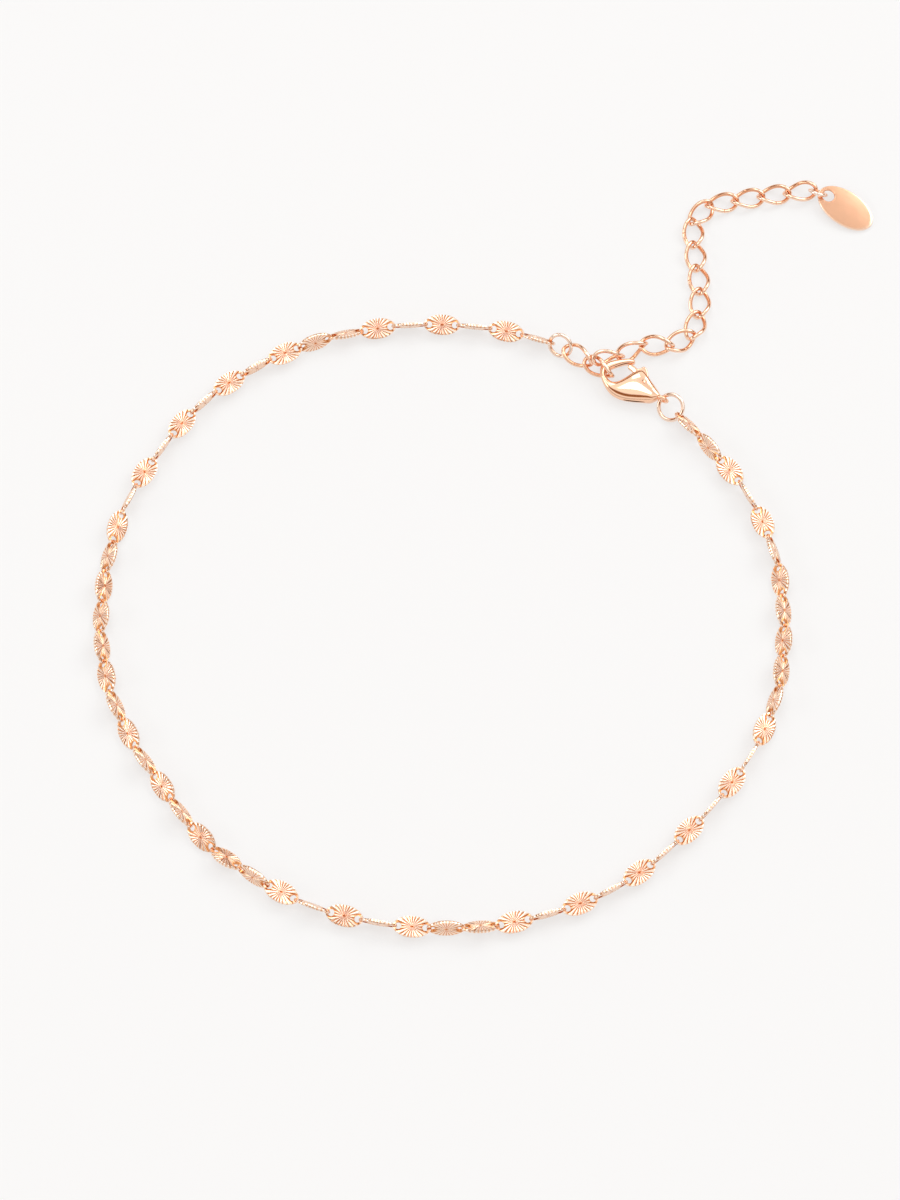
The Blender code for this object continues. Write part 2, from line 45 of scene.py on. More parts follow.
# The photograph: the anklet lies on a pale surface and is seen from above and in front, 65 degrees
# over the surface. The middle of the picture, in millimetres on the surface, is a little left of and
# below the anklet's own middle.
picture_middle = (-4.5687, -6.2652)
aim = Vector((*picture_middle, 0.0)) * MM
elevation = math.radians(65.0)
distance = 500.0 * MM
sensor_height = 36.0
lens_in_pixels = 4545.0
picture_height = 1200.0
camera_data = bpy.data.cameras.new("camera")
camera_data.lens = lens_in_pixels / picture_height * sensor_height
camera_data.clip_start = 0.02
camera_data.clip_end = 20.0
camera = bpy.data.objects.new("camera", camera_data)
bpy.context.scene.collection.objects.link(camera)
camera.location = aim + distance * Vector((0.0, -math.cos(elevation), math.sin(elevation)))
camera.rotation_euler = (math.radians(90.0) - elevation, 0.0, 0.0)
bpy.context.scene.camera = camera


# The surface that it lies on: a wide, plain white sheet. It glows as if lit from below, which keeps the
# shadows faint, and its level is a hair under the lowest links, so that no piece sinks into it.
floor_half = 1.5
floor_level = -0.03 * MM
floor_corners = np.array([(-1, -1, 0), (1, -1, 0), (1, 1, 0), (-1, 1, 0)]) * floor_half
floor_corners = floor_corners + (0, 0, floor_level)
floor_mesh = bpy.data.meshes.new("floor")
floor_mesh.from_pydata(floor_corners.tolist(), [], [(0, 1, 2, 3)])
floor = bpy.data.objects.new("floor", floor_mesh)
bpy.context.scene.collection.objects.link(floor)
floor_paint = bpy.data.materials.new("pale_sheet")
floor_paint.use_nodes = True
floor_shader = floor_paint.node_tree.nodes["Principled BSDF"]
floor_shader.inputs["Base Color"].default_value = (0.25, 0.25, 0.25, 1.0)
floor_shader.inputs["Emission Color"].default_value = (1.0, 0.998, 0.996, 1.0)
floor_shader.inputs["Emission Strength"].default_value = 0.64
floor_shader.inputs["Roughness"].default_value = 0.75
floor_shader.inputs["Specular IOR Level"].default_value = 0.2
floor_mesh.materials.append(floor_paint)


# The light: a white studio whose walls have a darker, warm band, so that polished metal shows both. A
# large soft box at the top right throws the faint shadows to the lower left, and three smaller ones, at
# the left, overhead and behind, make the highlights. The Standard view leaves the whites as they are.
bpy.context.scene.view_settings.view_transform = "Standard"
world = bpy.data.worlds.new("white_studio")
bpy.context.scene.world = world
world.use_nodes = True
room = world.node_tree
room_light = room.nodes["Background"]
room_light.inputs["Strength"].default_value = 0.90
room_way = room.nodes.new("ShaderNodeTexCoord")
room_lean = room.nodes.new("ShaderNodeVectorRotate")
room_lean.rotation_type = "EULER_XYZ"
room_tilt = (math.radians(12.0), math.radians(-14.0), 0.0)
room_lean.inputs["Rotation"].default_value = room_tilt
room_height = room.nodes.new("ShaderNodeSeparateXYZ")
room_ramp = room.nodes.new("ShaderNodeValToRGB")
room.links.new(room_way.outputs["Generated"], room_lean.inputs["Vector"])
room.links.new(room_lean.outputs["Vector"], room_height.inputs["Vector"])
room.links.new(room_height.outputs["Z"], room_ramp.inputs["Fac"])
room.links.new(room_ramp.outputs["Color"], room_light.inputs["Color"])
# Each band of the wall: the sine of its height over the tilted studio's floor, and its light there
white_wall = np.array([1.0, 1.0, 0.99])
warm_wall = np.array([1.0, 0.48, 0.20])
room_bands = [
    (0.0, 0.70 * white_wall), (0.16, 1.25 * white_wall), (0.31, 1.15 * white_wall),
    (0.38, 0.42 * warm_wall), (0.59, 0.30 * warm_wall),
    (0.66, 1.35 * white_wall), (0.90, 1.30 * white_wall), (1.0, 1.00 * white_wall),
]
while len(room_ramp.color_ramp.elements) < len(room_bands):
    room_ramp.color_ramp.elements.new(0.5)
for element, (place, colour) in zip(room_ramp.color_ramp.elements, room_bands):
    element.position = place
    element.color = (*colour, 1.0)


def soft_box(name, place, size, power):
    """A square lamp of that side in metres and that power in watts, facing the middle of the anklet."""
    data = bpy.data.lights.new(name, "AREA")
    data.size = size
    data.energy = power
    lamp = bpy.data.objects.new(name, data)
    bpy.context.scene.collection.objects.link(lamp)
    lamp.location = place
    lamp.rotation_euler = (-Vector(place)).to_track_quat("-Z", "Y").to_euler()


soft_box("key_box", (0.66, 0.50, 0.74), 0.55, 3.2)
soft_box("fill_box", (-0.80, -0.10, 0.50), 0.30, 1.0)
soft_box("top_box", (-0.24, 0.08, 1.15), 0.38, 1.1)
soft_box("back_box", (-0.15, 0.66, 0.95), 0.34, 0.9)


# Plate chain: 59 pointed oval plates of rose gold plated sheet, an eye punched at each end, fine rays
# cut from the middle of both faces with a diamond tool. Each plate hangs in its neighbour's eye, a
# quarter turn from it. Left and right halves of the loop, 30 and 29 plates.
plate_count = 59
left_count = 30
plate_pitch = 3.65 * MM
plate_width = 2.35 * MM
plate_thick = 0.34 * MM
plate_rise = 0.04 * MM
eye_bar = 0.30 * MM
eye_overlap = 0.05 * MM
eye_length = 0.70 * MM
eye_width = 0.76 * MM
join_gap = 0.10 * MM
bar_offset = (plate_pitch + eye_bar - eye_overlap) / 2
crown_reach = 1.3 * MM
eye_steps = 20
# The rays: how deep the cuts between them are, how far they notch the rim, and the pit where they meet
ray_count = 20
ray_depth = 0.075 * MM
ray_notch = 0.018
pit_depth = 0.09 * MM

# The line that the plates follow, measured from the middle of the picture
route_shift = np.array(picture_middle) * MM
loop_middle = np.array([0.0, -2.5]) * MM
loop_route = MM * np.array([
    (11.6, 31.4), (6.3, 33.0), (-1.3, 33.8), (-8.5, 33.3), (-15.4, 31.5), (-22.1, 28.2),
    (-28.0, 23.6), (-32.4, 17.7), (-35.9, 11.4), (-37.7, 4.5), (-38.3, -2.8), (-37.4, -10.1),
    (-34.6, -17.0), (-30.6, -23.2), (-26.6, -28.7), (-20.9, -33.2), (-15.0, -36.4), (-8.9, -38.2),
    (-2.6, -39.0), (4.7, -38.7), (12.2, -36.9), (18.9, -33.7), (24.8, -28.7), (29.8, -23.1),
    (33.7, -16.9), (36.0, -10.0), (36.6, -2.8), (36.0, 4.4), (33.5, 11.6), (29.6, 17.4), (25.45, 22.5),
])
# Plate number and the roll of the even plates there, in degrees; an odd one is turned 90 more
roll_stations = np.array([
    (0, 54), (1, 68), (5, 68), (6, 45), (7, 15), (8, -10), (14, -10), (17, -45), (21, -52), (27, -52),
    (30, 5), (31, 25), (34, 8), (35, -15), (36, -42), (37, -80), (46, -80), (49, -45),
    (52, -45), (54, -10), (56, -10), (58, 48),
], float)


def once_round(count):
    """That many angles, evenly spaced once round from 0."""
    return 2 * math.pi * np.arange(count) / count


def unit(vector):
    """The vector divided by its length."""
    vector = np.asarray(vector, float)
    return vector / np.linalg.norm(vector)


def curve_through(points, steps=24):
    """Catmull-Rom curve: between each two points a cubic whose slope at a point is half the step from
    the point before it to the point after it."""
    p = np.vstack([2 * points[0] - points[1], points, 2 * points[-1] - points[-2]])
    t = np.linspace(0.0, 1.0, steps, endpoint=False)[None, :, None]
    a, b, c, d = (p[i:len(p) - 3 + i][:, None, :] for i in range(4))
    cubic = 0.5 * (
        2 * b + (c - a) * t + (2 * a - 5 * b + 4 * c - d) * t**2 + (3 * b - a - 3 * c + d) * t**3
    )
    return np.vstack([cubic.reshape(-1, points.shape[1]), points[-1:]])


def chords(curve, spans):
    """Points along the curve, each a straight span from the one before it. Past its end they run
    straight on."""
    curve = np.vstack([curve, curve[-1] + unit(curve[-1] - curve[-2]) * sum(spans)])
    found = [curve[0]]
    at = 0
    for span in spans:
        at += int(np.argmax(np.linalg.norm(curve[at:] - found[-1], axis=1) >= span))
        back = curve[at - 1] - found[-1]
        ahead = curve[at] - curve[at - 1]
        square, cross, rest = ahead @ ahead, ahead @ back, back @ back - span**2
        share = (-cross + math.sqrt(max(0.0, cross**2 - square * rest))) / square
        found.append(curve[at - 1] + share * ahead)
    return np.array(found)


def rolled_axes(heading, roll):
    """Rows: the heading, then the level direction across it and the one over both, turned by roll
    degrees about the heading."""
    x = unit(heading)
    level = unit(np.cross([0.0, 0.0, 1.0], x))
    over = np.cross(x, level)
    c, s = math.cos(math.radians(roll)), math.sin(math.radians(roll))
    return np.array([x, c * level + s * over, c * over - s * level])


def eye_reach(index, side):
    """From a plate's middle to where it meets its neighbour, half way between their two eye bars."""
    at_join = (index, side) in ((left_count - 1, 1), (left_count, -1))
    return bar_offset - (eye_bar + join_gap if at_join else eye_bar - eye_overlap) / 2


def loop_contacts():
    """The points where plate meets plate: the route, moved in or out until the plates just fill it."""
    weight = np.sin(np.linspace(0.0, math.pi, len(loop_route)))[:, None] ** 0.5
    outward = loop_route - loop_middle
    outward /= np.linalg.norm(outward, axis=1)[:, None]
    spans = [eye_reach(i, -1) + eye_reach(i, 1) for i in range(plate_count)]
    low, high = -2.0 * MM, 2.0 * MM
    halvings = 40
    for _ in range(halvings):
        swell = (low + high) / 2
        curve = curve_through(loop_route + swell * weight * outward)
        found = chords(curve, spans)
        if np.dot(found[-1] - curve[-1], curve[-1] - curve[-2]) > 0:
            low = swell
        else:
            high = swell
    return found + route_shift


def plate_places():
    """Middle and axes of each plate, resting on its own edge or on its neighbour's eye."""
    contacts = loop_contacts()
    number = np.arange(plate_count)
    rolls = np.interp(number, *roll_stations.T) + 90.0 * (number % 2)
    turn = np.radians(rolls)
    rest = plate_width / 2 * abs(np.sin(turn)) + (plate_thick / 2 + plate_rise) * abs(np.cos(turn))
    height = np.maximum(np.r_[rest[0], rest], np.r_[rest, rest[-1]])
    ends = np.column_stack([contacts, height])
    found = []
    for i in range(plate_count):
        axes = rolled_axes(ends[i + 1] - ends[i], rolls[i])
        found.append((ends[i] + eye_reach(i, -1) * axes[0], axes))
    return found


def plate_radius(angle):
    """Distance from the plate's middle to its pointed oval edge in that direction: a smooth curve through
    points of one quarter, given as shares of the half length and half width, and the same in the others."""
    reach = bar_offset + eye_bar / 2
    quarter = np.array([
        (1.0, 0.0), (0.995, 0.10), (0.97, 0.22), (0.91, 0.37), (0.68, 0.71), (0.36, 0.94), (0.0, 1.0),
    ])
    edge = curve_through(quarter * (reach, plate_width / 2), 8)
    turned = np.arctan2(edge[:, 1], edge[:, 0])
    order = np.argsort(turned)
    folded = abs(np.arctan2(np.sin(angle), np.cos(angle)))
    folded = np.minimum(folded, math.pi - folded)
    return np.interp(folded, turned[order], np.hypot(*edge.T)[order])


def ray_hollow(angle, share):
    """0 on the crown of a ray and 1 in the cut between two rays, as the cube of the way across,
    fading to nothing at the plate's middle."""
    fade_share = 0.25
    across = abs(2.0 * ((angle * ray_count / (2 * math.pi)) % 1.0) - 1.0)
    return across**3 * np.clip(share / fade_share, 0.0, 1.0)


def grid_quads(rows, columns, closed_rows=False, closed_columns=True):
    """Corner numbers of the four-sided faces of a grid of points, row by row."""
    row = np.arange(rows if closed_rows else rows - 1)[:, None]
    column = np.arange(columns if closed_columns else columns - 1)[None, :]
    next_row = (row + 1) % rows
    next_column = (column + 1) % columns
    corners = [row * columns + column, row * columns + next_column]
    corners += [next_row * columns + next_column, next_row * columns + column]
    return np.stack(corners, axis=-1).reshape(-1, 4)


def fans(first_ring, last_ring, columns, count):
    """Three-sided faces that close a grid's first and last rings on two middle points, whose numbers
    are count and count + 1."""
    j = np.arange(columns)
    k = (j + 1) % columns
    low = np.column_stack([first_ring + k, first_ring + j, np.full(columns, count)])
    high = np.column_stack([last_ring + j, last_ring + k, np.full(columns, count + 1)])
    return np.vstack([low, high])


def metal_mesh(name, points, faces, sharp=40.0):
    """A smooth-shaded mesh object of the points and faces. Creases over that many degrees stay sharp."""
    mesh = bpy.data.meshes.new(name)
    corners = [face for block in faces for face in np.asarray(block).tolist()]
    mesh.from_pydata(np.asarray(points).tolist(), [], corners)
    mesh.update()
    mesh.shade_smooth()
    mesh.set_sharp_from_angle(angle=math.radians(sharp))
    piece = bpy.data.objects.new(name, mesh)
    bpy.context.scene.collection.objects.link(piece)
    return piece


def settled(piece):
    """Applies the piece's modifiers and gives its points and triangles as arrays."""
    bpy.context.view_layer.update()
    shown = piece.evaluated_get(bpy.context.evaluated_depsgraph_get())
    mesh = bpy.data.meshes.new_from_object(shown)
    mesh.calc_loop_triangles()
    points = np.empty(len(mesh.vertices) * 3, np.float32)
    mesh.vertices.foreach_get("co", points)
    corners = np.empty(len(mesh.loop_triangles) * 3, np.int32)
    mesh.loop_triangles.foreach_get("vertices", corners)
    bpy.data.meshes.remove(mesh)
    return points.reshape(-1, 3).astype(float), corners.reshape(-1, 3)


def cut_with(piece, cutter, operation="DIFFERENCE"):
    """Cuts the cutter out of the piece, or joins it on, with a Boolean that settled() then applies."""
    modifier = piece.modifiers.new(cutter.name, "BOOLEAN")
    modifier.operation = operation
    modifier.solver = "EXACT"
    modifier.object = cutter


def prism(name, outline, low, high):
    """A closed straight-sided block: the outline, which turns left, carried from low to high in z."""
    count = len(outline)
    points = np.vstack([np.column_stack([outline, np.full(count, z)]) for z in (low, high)])
    sides = grid_quads(2, count)
    return metal_mesh(name, points, [sides, [np.arange(count)[::-1]], [np.arange(count) + count]])


def one_plate():
    """Points and triangles of a plate: rings of the pointed oval, from the middle of the top face over
    the rim to the middle of the underside. The faces crown as one less the square of the way along, and
    are lowered in the cuts between rays. The two eyes are cut through."""
    steps_in_ray = 6
    angle = once_round(ray_count * steps_in_ray)
    # Each ring's share of the way out to the rim, and its height as a share of the face's
    flat = np.array([0.05, 0.14, 0.28, 0.45, 0.62, 0.78, 0.90, 0.97, 1.0])
    side = np.array([1, 1, 1, 1, 1, 1, 1, 0.82, 0.40])
    share = np.r_[flat, flat[::-1]][:, None]
    level = np.r_[side, -side[::-1]][:, None]
    hollow = ray_hollow(angle[None, :], share)
    radius = plate_radius(angle)[None, :] * share * (1.0 - ray_notch * hollow * (share > 0.9))
    x, y = radius * np.cos(angle), radius * np.sin(angle)
    crown = plate_thick / 2 + plate_rise * np.clip(1.0 - (x / crown_reach) ** 2, 0.0, 1.0)
    z = level * (crown - ray_depth * hollow * (abs(level) > 0.9))
    rings = np.stack([x, y, z], axis=-1).reshape(-1, 3)
    pit = plate_thick / 2 + plate_rise - pit_depth
    points = np.vstack([rings, [(0.0, 0.0, pit), (0.0, 0.0, -pit)]])
    columns = len(angle)
    quads = grid_quads(len(share), columns)[:, ::-1]
    caps = fans(0, (len(share) - 1) * columns, columns, len(rings))[:, ::-1]
    plate = metal_mesh("plate_blank", points, [quads, caps])
    turn = once_round(eye_steps)
    middle = bar_offset - (eye_bar + eye_length) / 2
    cutters = []
    for end in (-1, 1):
        hole = np.column_stack([eye_length / 2 * np.cos(turn), eye_width / 2 * np.sin(turn)])
        cutters.append(prism("eye_cutter", hole + (end * middle, 0.0), -1.0 * MM, 1.0 * MM))
        cut_with(plate, cutters[-1])
    found = settled(plate)
    for piece in (plate, *cutters):
        bpy.data.objects.remove(piece)
    return found


def add_attribute(piece, name, values):
    """Stores one number, or three, for each point of the mesh."""
    values = np.asarray(values, np.float32)
    if values.ndim == 1:
        piece.data.attributes.new(name, "FLOAT", "POINT").data.foreach_set("value", values)
        return
    stored = piece.data.attributes.new(name, "FLOAT_VECTOR", "POINT")
    stored.data.foreach_set("vector", values.ravel())


def rose_gold(name, deep, fair, pale, gloss, grain_bump):
    """Rose gold plate: deep as painted shade in the recesses, fair on the faces and pale as painted
    highlight on crowns and edges, as the mesh's painted light attribute goes from 0 by 0.55 to 1; on wires
    it also darkens the joint line. Faint clouds of a warmer tone, about 4 mm across, lie over it. Fine
    polishing lines, by its grain attribute, vary the gloss and the surface."""
    material = bpy.data.materials.new(name)
    material.use_nodes = True
    nodes, links = material.node_tree.nodes, material.node_tree.links
    shader = nodes["Principled BSDF"]
    shader.inputs["Metallic"].default_value = 1.0
    painted_light_and_joint_tone = nodes.new("ShaderNodeAttribute")
    painted_light_and_joint_tone.attribute_name = "painted_light_and_joint_tone"
    tint = nodes.new("ShaderNodeValToRGB")
    tint.color_ramp.elements[0].color = (*deep, 1.0)
    tint.color_ramp.elements[1].color = (*pale, 1.0)
    tint.color_ramp.elements.new(0.55).color = (*fair, 1.0)
    grain = nodes.new("ShaderNodeAttribute")
    grain.attribute_name = "grain"
    lines = nodes.new("ShaderNodeTexNoise")
    lines.inputs["Scale"].default_value = 1.0
    lines.inputs["Detail"].default_value = 3.0
    place = nodes.new("ShaderNodeTexCoord")
    clouds = nodes.new("ShaderNodeTexNoise")
    clouds.inputs["Scale"].default_value = 260.0
    clouds.inputs["Detail"].default_value = 2.0
    mixed = nodes.new("ShaderNodeMix")
    mixed.data_type = "RGBA"
    mixed.blend_type = "MULTIPLY"
    mixed.inputs["Factor"].default_value = 0.35
    warmth = nodes.new("ShaderNodeValToRGB")
    warmth.color_ramp.elements[0].position = 0.30
    warmth.color_ramp.elements[0].color = (1.0, 0.90, 0.84, 1.0)
    warmth.color_ramp.elements[1].position = 0.70
    warmth.color_ramp.elements[1].color = (1.0, 1.0, 1.0, 1.0)
    shine = nodes.new("ShaderNodeMapRange")
    shine.inputs["To Min"].default_value = gloss * 0.7
    shine.inputs["To Max"].default_value = gloss * 1.5
    bump = nodes.new("ShaderNodeBump")
    bump.inputs["Strength"].default_value = grain_bump
    bump.inputs["Distance"].default_value = 0.03 * MM
    links.new(painted_light_and_joint_tone.outputs["Fac"], tint.inputs["Fac"])
    links.new(grain.outputs["Vector"], lines.inputs["Vector"])
    links.new(place.outputs["Object"], clouds.inputs["Vector"])
    links.new(clouds.outputs["Fac"], warmth.inputs["Fac"])
    links.new(tint.outputs["Color"], mixed.inputs["A"])
    links.new(warmth.outputs["Color"], mixed.inputs["B"])
    links.new(mixed.outputs["Result"], shader.inputs["Base Color"])
    links.new(lines.outputs["Fac"], shine.inputs["Value"])
    links.new(shine.outputs["Result"], shader.inputs["Roughness"])
    links.new(lines.outputs["Fac"], bump.inputs["Height"])
    links.new(bump.outputs["Normal"], shader.inputs["Normal"])
    return material


cut_plate_gold = rose_gold(
    "cut_plate_gold",
    deep=(0.76, 0.32, 0.12), fair=(0.95, 0.65, 0.46), pale=(0.98, 0.86, 0.77),
    gloss=0.18, grain_bump=0.25,
)
blank_points, blank_triangles = one_plate()
blank_angle = np.arctan2(blank_points[:, 1], blank_points[:, 0])
blank_share = np.hypot(blank_points[:, 0], blank_points[:, 1]) / plate_radius(blank_angle)
eye_middle = bar_offset - (eye_bar + eye_length) / 2
eye_along = (abs(blank_points[:, 0]) - eye_middle) / (eye_length / 2)
from_eye = np.hypot(eye_along, blank_points[:, 1] / (eye_width / 2))
# Painted highlight on the crowns of the rays and at the rim, painted shade in the cuts, round the eyes and
# in the middle pit
blank_painted_light = 0.88 - 0.80 * ray_hollow(blank_angle, blank_share) ** 0.6 + 0.15 * (blank_share > 0.96)
blank_painted_light -= 0.75 * np.exp(-((from_eye - 1.0) / 0.40) ** 2) + 0.8 * (blank_share < 0.06)
blank_grain = np.column_stack([9 * np.cos(blank_angle), 9 * np.sin(blank_angle), 1.5 * blank_share])
# Each plate's polishing lines come from another part of the pattern
grain_step = 40.0 * np.array([0.0, 0.0, 1.0])
places = plate_places()
for piece_name, node, part_of_loop in (
    ("cut_plates_left", "plate_chain_left", places[:left_count]),
    ("cut_plates_right", "plate_chain_right", places[left_count:]),
):
    middles = np.array([middle for middle, _ in part_of_loop])
    turns = np.array([axes for _, axes in part_of_loop])
    points = np.einsum("pj,njk->npk", blank_points, turns) + middles[:, None, :]
    offsets = len(blank_points) * np.arange(len(middles))[:, None, None]
    triangles = (blank_triangles[None] + offsets).reshape(-1, 3)
    piece = metal_mesh(piece_name, points.reshape(-1, 3), [triangles], sharp=32.0)
    add_attribute(piece, "painted_light_and_joint_tone", np.tile(blank_painted_light, len(middles)))
    spread = np.arange(len(middles))[:, None, None] * grain_step
    add_attribute(piece, "grain", (blank_grain[None] + spread).reshape(-1, 3))
    piece.data.materials.append(cut_plate_gold)
    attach(piece, "anklet")
    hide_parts(node)


# Jump rings: the two rings at the ends of the plate chain and the small one that holds the tag. Each
# is a turn of round polished wire, closed end to end, with the fine line of the joint left showing.
wire = 0.45 * MM
tag_ring_wire = 0.40 * MM
wire_steps = 96
wire_sides = 20
# The joint line: its half width in radians, its depth in the wire, and how the points crowd to it
joint_spread = 0.022
joint_depth = 0.10
joint_crowding = 0.80


def node_points(node):
    """The CAD node's points, each once."""
    mesh = frame["nodes"][node].data
    points = np.empty(len(mesh.vertices) * 3, np.float32)
    mesh.vertices.foreach_get("co", points)
    return np.unique(np.round(points.reshape(-1, 3).astype(float), 7), axis=0)


def node_axes(node):
    """Middle of the node's points and rows of its own axes, longest spread first."""
    points = node_points(node)
    middle = points.mean(axis=0)
    rows = np.linalg.svd(points - middle, full_matrices=False)[2]
    rows[2] = np.cross(rows[0], rows[1])
    return middle, rows


def joint_turns():
    """Angles once round a closed wire, less their sine times the crowding, which packs them closer
    together near 0, where its two ends meet."""
    share = np.arange(wire_steps) / wire_steps
    return 2 * math.pi * share - joint_crowding * np.sin(2 * math.pi * share)


def closed_wire(name, line, across, thickness, turns):
    """Round wire along a closed line: circles of the wire's radius round each point of the line, in the
    plane of across and the direction square to it. Where the two ends meet it thins as a bell curve of
    the angle from there, and is darker along that joint line. Painted shade deepens the side turned
    inwards, where gold faces gold, and painted highlight pales the side turned outwards."""
    ahead = np.roll(line, -1, axis=0) - np.roll(line, 1, axis=0)
    ahead /= np.linalg.norm(ahead, axis=1)[:, None]
    first = across - (across * ahead).sum(axis=1)[:, None] * ahead
    first /= np.linalg.norm(first, axis=1)[:, None]
    second = np.cross(ahead, first)
    from_joint = np.minimum(turns % (2 * math.pi), 2 * math.pi - turns % (2 * math.pi))
    nick = np.exp(-((from_joint / joint_spread) ** 2))
    radius = thickness / 2 * (1.0 - joint_depth * nick)
    around = once_round(wire_sides)
    circle = np.cos(around)[None, :, None] * first[:, None]
    circle = circle + np.sin(around)[None, :, None] * second[:, None]
    points = line[:, None] + radius[:, None, None] * circle
    piece = metal_mesh(name, points.reshape(-1, 3), [grid_quads(len(line), wire_sides, True)], sharp=50.0)
    length = np.r_[0.0, np.cumsum(np.linalg.norm(np.diff(line, axis=0), axis=1))]
    # Painted highlight on the outer side of the wire and painted shade on the inner side; the joint line is
    # darker
    painted_light_and_joint_tone = np.repeat(0.60 - 0.50 * nick, wire_sides) + 0.30 * np.tile(np.cos(around), len(line))
    grain = np.column_stack([
        np.tile(6 * np.cos(around), len(line)),
        np.tile(6 * np.sin(around), len(line)),
        np.repeat(length / MM * 0.8, wire_sides),
    ])
    add_attribute(piece, "painted_light_and_joint_tone", painted_light_and_joint_tone)
    add_attribute(piece, "grain", grain)
    return piece


ring_gold = rose_gold(
    "ring_gold",
    deep=(0.74, 0.34, 0.15), fair=(0.94, 0.72, 0.58), pale=(0.98, 0.85, 0.76),
    gloss=0.11, grain_bump=0.10,
)
# Piece, node, wire and the angle in radians at which the wire's ends meet
for piece_name, node, thickness, joint_at in (
    ("jump_ring_end", "end_ring", wire, 0.9),
    ("jump_ring_clasp", "clasp_ring", wire, 2.4),
    ("jump_ring_tag", "tag_ring", tag_ring_wire, 4.0),
):
    middle, axes = node_axes(node)
    radius = np.linalg.norm(node_points(node) - middle, axis=1)
    radius = (radius.max() + radius.min()) / 2
    turns = joint_turns()
    outward = np.cos(turns + joint_at)[:, None] * axes[0] + np.sin(turns + joint_at)[:, None] * axes[1]
    piece = closed_wire(piece_name, middle + radius * outward, outward, thickness, turns)
    piece.data.materials.append(ring_gold)
    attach(piece, "anklet")
    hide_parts(node)


# Extender: sixteen curb links of round polished wire, each an oval bent shut and twisted an eighth of
# a turn each way along its length so that the chain lies flat. The hook holds the second one.
link_half_length = 1.85 * MM
link_half_width = 1.07 * MM
link_twist = math.radians(45.0)
link_count = 16


def curb_line(turns):
    """An oval whose width turns about its length: length times cosine, and width times sine turned by
    the twist in step with the place along the length. Gives the line and its outward direction."""
    along = np.cos(turns)
    twist = link_twist * along
    width = np.sin(turns)
    line = np.column_stack([
        link_half_length * along,
        link_half_width * width * np.cos(twist),
        link_half_width * width * np.sin(twist),
    ])
    ratio = link_half_length / link_half_width
    return line, line * (1.0, ratio, ratio)


link_gold = rose_gold(
    "link_gold",
    deep=(0.70, 0.27, 0.09), fair=(0.93, 0.57, 0.385), pale=(0.98, 0.76, 0.61),
    gloss=0.12, grain_bump=0.12,
)
for number in range(1, link_count + 1):
    node = f"extender_link_{number:02d}"
    middle, axes = node_axes(node)
    turns = joint_turns()
    side = math.pi / 2 if number % 2 else -math.pi / 2
    line, outward = curb_line(turns + side)
    piece = closed_wire(f"curb_link_{number:02d}", middle + line @ axes, outward @ axes, wire, turns)
    piece.data.materials.append(link_gold)
    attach(piece, "anklet")
    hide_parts(node)


# Tag: a plain oval blank of polished sheet, slightly domed, with a rounded edge painted paler as a
# highlight and one hole near its end for the tag ring. It is left bare.
tag_length = 7.2 * MM
tag_width = 4.3 * MM
tag_thick = 0.40 * MM
tag_hole_radius = 0.70 * MM
tag_hole_edge = 0.50 * MM
tag_dome = 0.05 * MM
tag_edge = 0.12 * MM
tag_rays = 160
edge_rings = 6
face_rings = 14


def tag_surface():
    """Each ray from the hole's middle runs on the top face from the oval's edge to the hole's edge, and
    back on the underside. Both edges are rounded as a quarter of an ellipse, and both faces rise by the
    dome times one less the squares of the ways along and across."""
    angle = once_round(tag_rays)
    hole_at = -(tag_length / 2 - tag_hole_edge - tag_hole_radius)
    c, s = np.cos(angle), np.sin(angle)
    a = (c / (tag_length / 2)) ** 2 + (s / (tag_width / 2)) ** 2
    b = 2 * hole_at * c / (tag_length / 2) ** 2
    k = (hole_at / (tag_length / 2)) ** 2 - 1
    far = (-b + np.sqrt(b * b - 4 * a * k)) / (2 * a)
    quarter = np.linspace(0.0, math.pi / 2, edge_rings)
    drawn = (tag_edge * (1 - np.cos(quarter)))[:, None]
    share = np.linspace(0.0, 1.0, face_rings + 2)[1:-1, None]
    far_face, near_face = far - tag_edge, tag_hole_radius + tag_edge
    near_edge = tag_hole_radius + drawn[::-1] + 0 * far
    radius = np.vstack([far - drawn, far_face + (near_face - far_face) * share, near_edge])
    level = np.r_[np.sin(quarter), np.ones(face_rings), np.sin(quarter)[::-1]]
    x, y = hole_at + radius * c, radius * s
    dome = tag_dome * np.clip(1.0 - (x / (tag_length / 2)) ** 2 - (y / (tag_width / 2)) ** 2, 0.0, 1.0)
    z = level[:, None] * (tag_thick / 2 - tag_dome) + dome
    top = np.stack([x, y, z], axis=-1)
    under = np.stack([x, y, -level[:, None] * (tag_thick / 2 - tag_dome) + dome], axis=-1)[::-1]
    return np.vstack([top, under[1:-1]])


tag_points = node_points("tag")
tag_middle, tag_axes = node_axes("tag")
if np.dot(node_axes("tag_ring")[0] - tag_middle, tag_axes[0]) > 0:
    tag_axes[0] *= -1
if tag_axes[2][2] < 0:
    tag_axes[2] *= -1
tag_axes[1] = np.cross(tag_axes[2], tag_axes[0])
along = tag_points @ tag_axes.T
tag_middle = (along.min(axis=0) + along.max(axis=0)) / 2 @ tag_axes
tag_grid = tag_surface()
rows, columns = tag_grid.shape[:2]
tag_flat = tag_grid.reshape(-1, 3)
tag_faces = grid_quads(rows, columns, True)
piece = metal_mesh("oval_tag", tag_middle + tag_flat @ tag_axes, [tag_faces], sharp=60.0)
rim = np.hypot(tag_flat[:, 0] / (tag_length / 2), tag_flat[:, 1] / (tag_width / 2))
